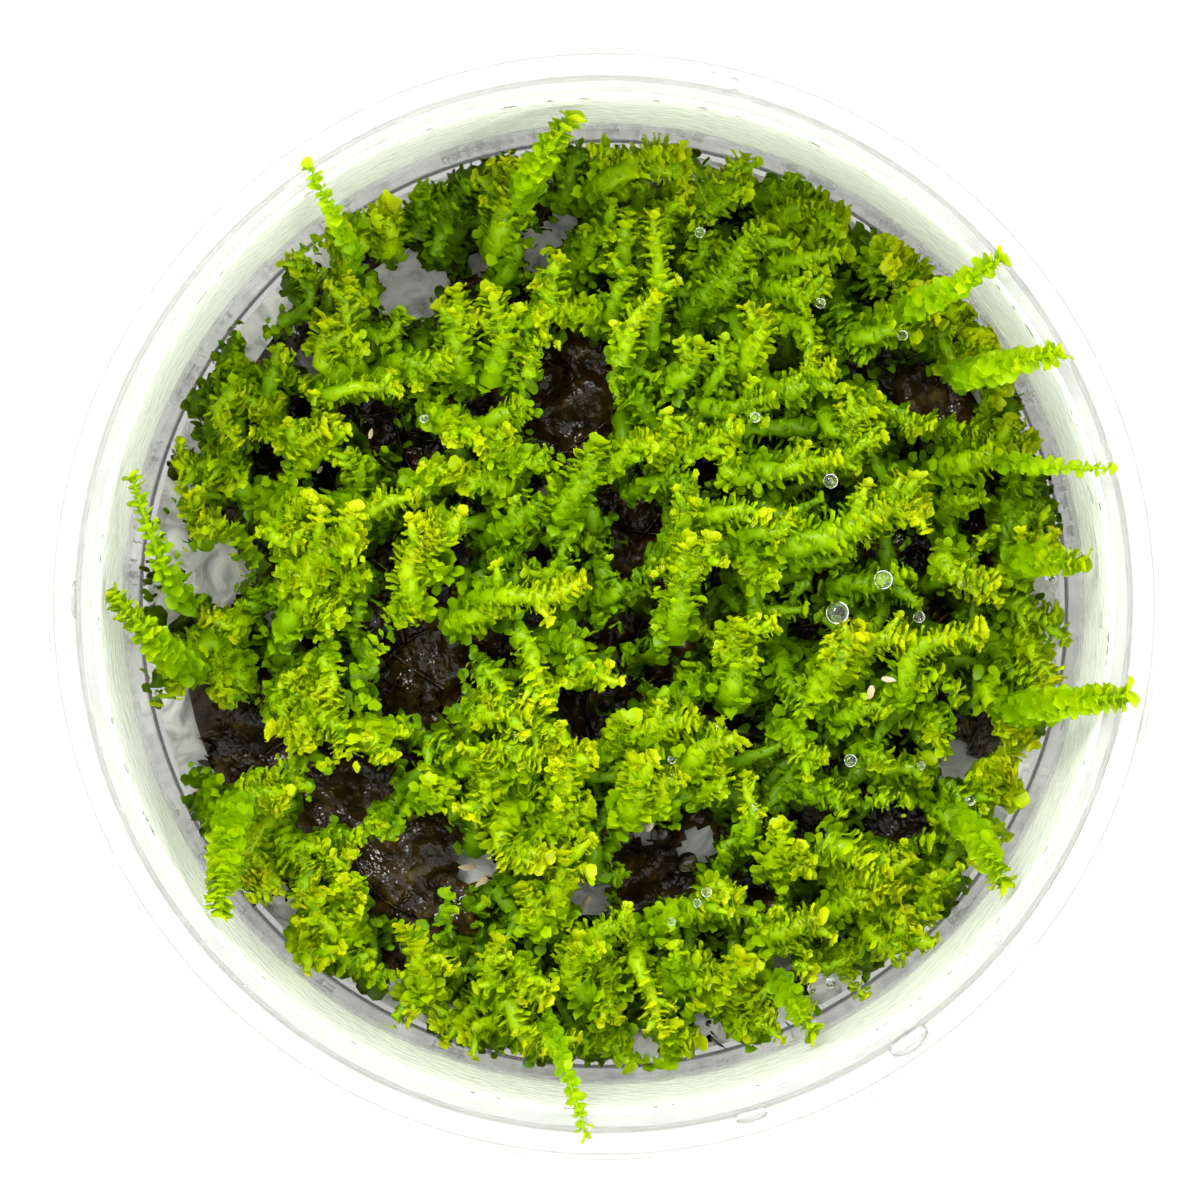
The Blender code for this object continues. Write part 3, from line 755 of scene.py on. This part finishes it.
    (17, 5.5, 23, 7.2, 28, 9.6, 4.8, 0.78), (26.5, 8.5, 27.8, 9.5, 28.8, 9, 3.4, 0.92),
    (14.5, 12.5, 18, 12.5, 21, 13.5, 3, 0.74), (20.5, 13, 23, 14, 25.2, 15.5, 2.6, 0.70),
    (19.5, -8, 21, -5.5, 23.5, -3, 4, 0.90), (22.5, -5.5, 25, -3.5, 27.5, -3, 3.6, 0.82),
    (27.5, -7.5, 29, -4.2, 34, -2.3, 3.4, 0.86), (26.5, -8, 28.5, -7, 30.5, -6.5, 3.4, 0.62),
    (31, 4, 33, 2.5, 35.5, 2, 3.6, 0.82), (34.5, 4, 35, 5.5, 35.5, 7, 1.6, 0.68),
    (31.5, 8.5, 33, 9.5, 34.5, 9.5, 3, 0.58), (38, 4, 40, 5, 41.2, 5, 3.4, 0.86),
    (36.5, 2, 38, 3.2, 39.5, 4.2, 3.2, 0.66), (37.5, 0, 39.5, -1, 41, -1.5, 3.6, 0.64),
    (38.5, -3.5, 40, -5, 41, -7, 3.6, 0.84), (35.5, -7.5, 35.5, -9.5, 37.5, -11.8, 3, 0.82),
    (36.5, -10.5, 38, -12, 39, -12.6, 3, 0.86), (30, -10.5, 31.5, -11.5, 31, -13, 3.2, 0.72),
    (30.5, -7.5, 31.5, -8.2, 32.5, -8.5, 3, 0.66), (34.8, -15.5, 36, -14, 37.3, -13.8, 3.6, 0.90),
    (17.5, -12, 18, -13.5, 19.5, -14, 3.2, 0.66), (24, -13.5, 25, -14, 26, -14.6, 2.6, 0.62),
    (22, -10.5, 24, -9.5, 25.5, -9.8, 3, 0.60), (16.5, -6, 17.5, -8, 18.5, -9.5, 3.8, 0.52),
    (36, -4.5, 37.5, -6, 39, -7.5, 3.8, 0.56), (22, 1.5, 25, 2, 28, 2.5, 3.8, 0.48),
    (37, 9, 38.5, 10.5, 39.3, 12, 3.8, 0.40), (37, 5.5, 38.5, 7.5, 40, 8, 3.4, 0.50),
    # front left
    (-31.2, -20, -32.6, -23, -34, -25.6, 4.4, 0.88), (-30.5, -21.5, -30.5, -24.5, -31.8, -26.8, 3.2, 0.74),
    (-34.5, -17.5, -33, -16.5, -30.5, -16, 3.8, 0.72), (-32, -18, -31, -17.5, -29.5, -18.5, 3.4, 0.80),
    (-27.5, -15.5, -28.5, -15.5, -31, -15, 3.2, 0.66), (-36, -17.5, -35.5, -19.5, -35, -21, 3.2, 0.46),
    (-29, -22, -28, -23.5, -26.5, -24.5, 4.2, 0.66), (-26.5, -22, -25.5, -23.5, -24.5, -24.5, 3.2, 0.60),
    (-23, -26.5, -23.5, -24.5, -23, -23.2, 3.2, 0.82), (-22, -27.5, -22, -25.5, -21.5, -24.5, 3.6, 0.60),
    (-23.5, -30, -23.5, -28, -23, -26, 3.8, 0.84), (-25, -30.5, -26, -28.5, -26.5, -26.8, 3, 0.86),
    (-27.5, -31.5, -28, -32.5, -26.8, -33.5, 3.8, 0.82),
    (-24.5, -31.5, -23.5, -32.5, -22, -33.5, 3.4, 0.58), (-22, -33.5, -20.5, -34, -19, -34, 2.6, 0.64),
    (-16.5, -34.5, -17, -32, -18, -29.5, 3.4, 0.90), (-17, -32, -15.5, -32.5, -14, -33.3, 2.4, 0.90),
    (-17.2, -35, -18, -36.5, -18.3, -38, 3.2, 0.80), (-21.5, -18.8, -21.5, -20.5, -22.5, -22.5, 3.4, 0.72),
    (-25.5, -19.5, -24.5, -20.8, -23, -21.5, 3, 0.56), (-19, -21, -18, -21.8, -16.5, -21.5, 2.6, 0.68),
    (-17, -18.5, -15.5, -18, -14.5, -16.5, 3.6, 0.66), (-15.5, -29, -15, -27.5, -15, -26, 3.4, 0.58),
    # front
    (-8.6, -19.3, -9.6, -21.2, -8, -23.2, 4.8, 0.86), (-10.5, -15, -11, -17.5, -11.5, -19.3, 3, 0.82),
    (-4.2, -27, -4, -25, -3.6, -23, 4.2, 0.84), (-6, -29, -6.5, -27.5, -7, -26, 3.4, 0.78),
    (-4.5, -20.5, -3, -19, -1.5, -18.5, 4, 0.74), (-3.5, -17.5, -3.5, -15.5, -2.5, -14, 4, 0.88),
    (2.5, -18.5, 3, -16.5, 3, -14.5, 4.2, 0.84), (5, -17.5, 5.5, -16.5, 6.5, -15.5, 3, 0.86),
    (9.5, -17, 10.5, -16.5, 11, -15.5, 2.6, 0.74), (13.5, -20.5, 13.3, -18, 13, -15.8, 2.2, 0.76),
    (-9, -35, -10.5, -33, -9.5, -31, 3.4, 0.78), (-8, -33, -7, -34.5, -5.5, -36.2, 3.4, 0.84),
    (-2, -35.5, -3, -33.5, -2.5, -31, 4.2, 0.74), (-1.5, -31.5, 0, -30, 2, -28.8, 3.6, 0.74),
    (0.5, -35, 0, -33, -1, -31.5, 4, 0.68), (3.2, -32.5, 4.2, -36, 5.6, -39, 2.8, 0.94),
    (-0.5, -35, 0.5, -36.5, 1, -38, 2.8, 0.86), (-9.2, -36.5, -7.5, -38.8, -5.5, -40.8, 4, 0.88),
    (-9.5, -38, -11.5, -39, -13, -39.8, 3, 0.76), (-12, -37.5, -14, -38.3, -15.3, -38.5, 3, 0.76),
    (0, -39, 1, -40.3, 2, -40.8, 4, 0.58), (5, -41, 6.5, -40.3, 8.5, -39.8, 3.8, 0.76),
    (6, -35, 7.5, -33.5, 9, -32.5, 4.4, 0.62), (10.5, -36, 11.5, -34.5, 12.5, -32.5, 4.2, 0.84),
    (9, -27, 10.5, -26, 12, -26.3, 3.2, 0.78), (5.5, -28.8, 7.5, -27.8, 9.5, -26.8, 3.4, 0.74),
    (10.5, -28.5, 13, -28, 15.5, -28.5, 3, 0.68), (-8.5, -17.5, -6.5, -16.5, -5.5, -17.5, 4, 0.50),
    (14, -38, 13.5, -36.5, 13, -35.5, 3.6, 0.74),
    # front right
    (15, -25, 16, -22.5, 16, -20.5, 3.6, 0.82), (16.5, -24, 17.5, -23.5, 18.5, -24.5, 3, 0.78),
    (20.5, -21.5, 22.5, -23, 25.5, -24, 4.4, 0.82), (22.5, -24.5, 25, -25.5, 27, -26, 4, 0.86),
    (21, -28, 23, -27, 25, -26.5, 3.2, 0.76), (24, -28, 27, -28.5, 30, -28, 4.2, 0.68),
    (28.5, -25.5, 30, -26.5, 31, -25.5, 3.8, 0.62), (15.5, -30.5, 17.5, -29.5, 19.5, -29, 4, 0.82),
    (17, -31, 17.5, -32.5, 18.5, -34.2, 2.6, 0.80), (19.5, -33, 20.5, -34, 21.5, -34.6, 3, 0.64),
    (21.5, -32, 22.3, -34, 22.3, -35.6, 3, 0.76), (14, -34, 16.5, -35.8, 18.8, -37.4, 2.8, 0.68),
    (13, -38, 14.5, -38.8, 16.2, -38.9, 2.6, 0.82), (24.8, -30.5, 26.5, -31.3, 28.6, -30.6, 4, 0.84),
    (34, -20, 35.2, -21.5, 35, -23.6, 4, 0.86), (34.8, -16.5, 36, -15.8, 37.3, -15.3, 4, 0.92),
    (35.5, -17, 37, -17.6, 37.8, -17.4, 3.4, 0.74), (31, -19.5, 32.5, -20.5, 34, -20.8, 3.6, 0.64),
    (30.5, -17, 32.5, -17, 34.5, -18.5, 3.6, 0.54), (24, -17.5, 26, -18, 27.5, -18.5, 2.8, 0.62),
    (18, -18, 20, -17, 22, -17.5, 3.8, 0.46), (26.5, -15.5, 28.5, -15, 29.5, -14.8, 3.4, 0.62),
    (25, -22.5, 27.5, -22, 29.5, -21.5, 3.6, 0.52),
)


CROWN_TOP = 23.0
CROWN_FALL = 4.0
CROWN_REACH = 42.0


def crown_height(x, y):
    """The height of the moss's top at a place, all in millimetres: a low dome with two sizes of hill."""
    reach = np.hypot(x, y) / CROWN_REACH
    hills = 1.8 * noise.noise((x * 0.10, y * 0.10, 2.0)) + 1.0 * noise.noise((x * 0.3, y * 0.3, 7.0))
    return CROWN_TOP - CROWN_FALL * reach**2 + hills


def rooted_path(seen, top, rise, root, dice):
    """A shoot from its line seen from above. It climbs by rise to top, over a root that dives back."""
    WOBBLE = 0.28
    FARTHEST = 41.6
    STATIONS = 13
    t = np.linspace(0, 1, len(seen))
    height = top - rise * (1 - t) ** 1.6
    run = unit(seen[-1] - seen[0])
    sway = WOBBLE * np.sin(7 * t + dice.uniform(0, 6.28))
    seen = seen + sway[:, None] * np.array([-run[1], run[0]])
    back = unit(seen[0] - seen[2]) + dice.normal(0, 0.3, 2)
    steps = np.linspace(1, 0, 6)[:-1, None]
    below = np.hstack([seen[0] + back * root * 0.4 * steps, height[0] - root * steps**1.2])
    path = np.vstack([below, np.hstack([seen, height[:, None]])])
    path[:, 2] = np.maximum(path[:, 2], SLAB_TOP)
    reach = np.hypot(path[:, 0], path[:, 1])
    path[:, :2] *= np.minimum(1.0, FARTHEST / np.maximum(reach, 1))[:, None]
    return even_path(path, STATIONS)


tuft_names = sorted(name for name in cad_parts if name.startswith("tuft_"))
tuft_middles = np.array(
    [(Vector(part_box(name)[0]) + Vector(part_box(name)[1])).xy[:] for name in tuft_names]
) / (2 * MM)
HOLES = BARE + GAPS
bundles = [Shoots(HOLES) for _ in tuft_names]


def nearest_bundle(place):
    return bundles[int(np.argmin(np.linalg.norm(tuft_middles - place, axis=1)))]


# A young shoot stands over the crown and an old one under it, by this much for each step of age.
LEVEL_AGE = 0.72
RISE_WITH_AGE = 7.0
for foot_x, foot_y, bend_x, bend_y, tip_x, tip_y, width, age_and_shade in SHOOTS:
    foot, bend, tip = np.array([foot_x, foot_y]), np.array([bend_x, bend_y]), np.array([tip_x, tip_y])
    handle = 2 * bend - (foot + tip) / 2
    t = np.linspace(0, 1, 10)[:, None]
    seen = (1 - t) ** 2 * foot + 2 * t * (1 - t) * handle + t**2 * tip
    top = crown_height(tip_x, tip_y) + RISE_WITH_AGE * (age_and_shade - LEVEL_AGE)
    path = rooted_path(seen, top, dice.uniform(1.0, 2.8), dice.uniform(4, 6), dice)
    bundle = nearest_bundle(foot)
    bundle.shoot(path, width, age_and_shade, dice, ROUND_LEAF, 2.2, poke=0.12)
    for _ in range(dice.integers(1, 4)):
        (base,), (ahead,) = along(path, dice.uniform(0.55, 0.95, 1))
        aside = dice.choice((-1.0, 1.0)) * np.array([-ahead[1], ahead[0], 0.0])
        toward = unit(ahead + dice.uniform(0.7, 1.5) * aside + np.array([0, 0, dice.uniform(0.0, 0.7)]))
        bud = base + toward * np.linspace(0, dice.uniform(0.5, 0.95) * width, 5)[:, None]
        bud_width = dice.uniform(0.45, 0.65) * width
        bundle.shoot(bud, bud_width, age_and_shade + 0.06, dice, SMALL_LEAF, 2.4, star=5, poke=0.12)

# Shoots in the shade fill the depth between them: count, age, and depth under the crown. The deeper ones get
# a lower age, a darker green that is partly painted shade.
FILL = ((280, 0.38, (2.8, 5.0)), (230, 0.26, (5.2, 8.5)), (170, 0.16, (8.5, 12.5)))
for count, age_and_shade, depths in FILL:
    for _ in range(count):
        far = 41.0 * math.sqrt(dice.uniform())
        bearing = dice.uniform(0, 2 * math.pi)
        tip = np.array([far * math.cos(bearing), far * math.sin(bearing)])
        if openness(*tip, HOLES) > 0:
            continue
        heading = dice.uniform(0, 2 * math.pi)
        line = dice.uniform(4, 8) * np.array([math.cos(heading), math.sin(heading)])
        bow = np.array([-line[1], line[0]]) * dice.uniform(-0.25, 0.25)
        t = np.linspace(0, 1, 10)[:, None]
        seen = tip - line * (1 - t) + bow * 4 * t * (1 - t)
        top = crown_height(*tip) - dice.uniform(*depths)
        path = rooted_path(seen, top, dice.uniform(0.5, 3.0), dice.uniform(2.5, 4.5), dice)
        nearest_bundle(tip).shoot(
            path, dice.uniform(2.4, 3.6), age_and_shade + dice.normal(0, 0.06), dice, SMALL_LEAF, 1.15
        )

for name, bundle in zip(tuft_names, bundles):
    made = bundle.build(f"{name}_shoots", living)
    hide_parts(name)

# ---------------------------------------------------------------- runners
# Single pale shoots that leave the clump at its edge and climb the wall, some over the lip.
# A row is the bearing of the foot and of the tip in degrees, the tip's distance from the cup's
# axis, the tip's height and the shoot's leafy width, in millimetres.
RUNNERS = (
    (101, 94, 43.4, 38.0, 3.0), (126, 124, 46.6, 48.2, 1.5), (180, 165, 43.6, 40.0, 2.0),
    (189, 179, 43.7, 40.0, 3.2), (209, 219, 44.0, 42.5, 3.6), (262, 268, 46.8, 48.4, 1.5),
    (295, 296, 43.0, 32.0, 2.4), (329, 325, 43.5, 40.0, 2.6), (345, 350, 46.8, 49.2, 3.0),
    (6, 5, 42.8, 35.0, 3.0), (20, 15, 46.2, 48.2, 1.4), (33, 29, 45.8, 49.2, 2.6),
    (44, 41, 46.6, 49.0, 2.2),
)
RUNNER_FOOT_REACH = 38.0
RUNNER_FOOT_Z = 20.4
LIP_BEND_REACH = 40.4
RUNNER_TONE = 0.66
RUNNER_STATIONS = 24


def around(radius, degrees, height):
    """The place at a distance from the cup's axis, a bearing and a height."""
    bearing = math.radians(degrees)
    return np.array([radius * math.cos(bearing), radius * math.sin(bearing), height])


for number, (foot_at, tip_at, reach, height, width) in enumerate(RUNNERS, 1):
    over_lip = reach > BORE_MOUTH
    start = around(RUNNER_FOOT_REACH, foot_at, RUNNER_FOOT_Z)
    end = around(reach, tip_at, height)
    if over_lip:
        handle = around(LIP_BEND_REACH, (foot_at + tip_at) / 2, height - 0.6)
    else:
        handle = around(RUNNER_FOOT_REACH + 0.6, foot_at, height - 0.5)
    t = np.linspace(0, 1, RUNNER_STATIONS)[:, None]
    path = (1 - t) ** 2 * start + 2 * t * (1 - t) * handle + t**2 * end
    runner = Shoots()
    path = even_path(path, RUNNER_STATIONS)
    runner.shoot(path, width, RUNNER_TONE, dice, ROUND_LEAF, 1.9, star=3, core=0.4)
    name = f"runner_{number:02d}"
    made = runner.build(f"{name}_shoot", living)
    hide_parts(name)

# ---------------------------------------------------------------- water drops
# Beads of condensed water on the leaves, flattened ones along the lip's groove, and fine dew inside
# the lip. Each group is one joined piece.
LEAF_DROPS = (
    (20.7, 11.2, 0.7), (25.5, 2.2, 0.9), (28.8, -1.2, 0.55), (21.3, -0.8, 1.1), (32.7, 1.8, 0.5),
    (40.8, 2.5, 0.5), (5.3, 3.3, 0.35), (-8.2, -12.0, 0.4), (-7.2, -12.0, 0.4), (10.3, -11.3, 0.4),
    (6.2, -14.2, 0.4), (6.3, -15.5, 0.6), (22.5, -14.3, 0.6), (29.0, -14.8, 0.4), (13.7, -18.5, 0.4),
    (9.4, -26.3, 0.5), (8.5, -27.3, 0.4), (6.2, -29.0, 0.4), (35.0, -21.0, 0.6), (33.5, -18.0, 0.5),
    (19.0, -35.3, 0.4), (20.8, -34.7, 0.5), (-16.4, 16.9, 0.4), (19.8, 27.5, 0.5), (27.3, 24.5, 0.5),
    (26.8, 29.3, 0.5), (8.8, 34.0, 0.5), (13.8, 17.0, 0.5), (7.8, -24.0, 1.0), (5.5, -21.5, 1.2),
)
# Distance from the axis, bearing in degrees, height, and half size out, along and up.
LIP_DROPS = (
    (47.3, 304.9, 44.2, 1.0, 2.0, 0.9), (47.2, 286.1, 44.1, 0.7, 1.5, 0.6), (47.6, 76.0, 44.1, 0.6, 0.6, 0.5),
    (47.7, 78.3, 44.1, 0.5, 0.5, 0.4), (46.9, 179.5, 44.0, 0.5, 1.7, 0.4), (44.7, 12.8, 38.0, 0.4, 0.8, 0.8),
    (44.5, 2.7, 33.0, 0.4, 0.7, 0.9), (44.7, 358.1, 37.0, 0.4, 0.8, 0.8),
)
water = new_material("water")
wet = node(
    water, "ShaderNodeBsdfPrincipled",
    inputs=[("Roughness", 0.0), ("IOR", 1.33), ("Transmission Weight", 1.0), ("Base Color", rgb("#FFFFFF"))],
)
node(water, "ShaderNodeOutputMaterial", [("Surface", wet.outputs[0])])


def drop(place, size, degrees):
    """A bead at a place with half sizes out, along and up, turned to a bearing. In millimetres."""
    bpy.ops.mesh.primitive_uv_sphere_add(segments=16, ring_count=10, radius=1.0)
    made = bpy.context.object
    made.scale = [part * MM for part in size]
    made.location = place * MM
    made.rotation_euler = (0, 0, math.radians(degrees))
    bpy.ops.object.transform_apply()
    return made


def joined(name, parts):
    bpy.ops.object.select_all(action="DESELECT")
    for part in parts:
        part.select_set(True)
    bpy.context.view_layer.objects.active = parts[0]
    bpy.ops.object.join()
    made = bpy.context.object
    made.name = name
    bpy.ops.object.shade_smooth()
    made.data.materials.clear()
    made.data.materials.append(water)
    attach(made, "root")


# Fine dew: how many beads, at what height, and their least and greatest half size in millimetres.
DEW = 70
DEW_Z = 43.6
DEW_SIZES = (0.12, 0.34)
dew_reach = bore_radius(DEW_Z) - 0.1
bpy.ops.object.select_all(action="DESELECT")
joined("lip_dew", [
    drop(around(dew_reach, bearing, DEW_Z), (0.5 * size, dice.uniform(1, 2.4) * size, size), bearing)
    for bearing, size in zip(dice.uniform(0, 360, DEW), dice.uniform(*DEW_SIZES, DEW))
])
joined("leaf_drops", [
    drop(
        np.array([x, y, SLAB_TOP + 1.5 if openness(x, y, GAPS) > 0 else crown_height(x, y) + 0.9]),
        (radius, radius, 0.8 * radius), 0,
    )
    for x, y, radius in LEAF_DROPS
])
joined("lip_drops", [
    drop(around(reach, bearing, height), size, bearing) for reach, bearing, height, *size in LIP_DROPS
])
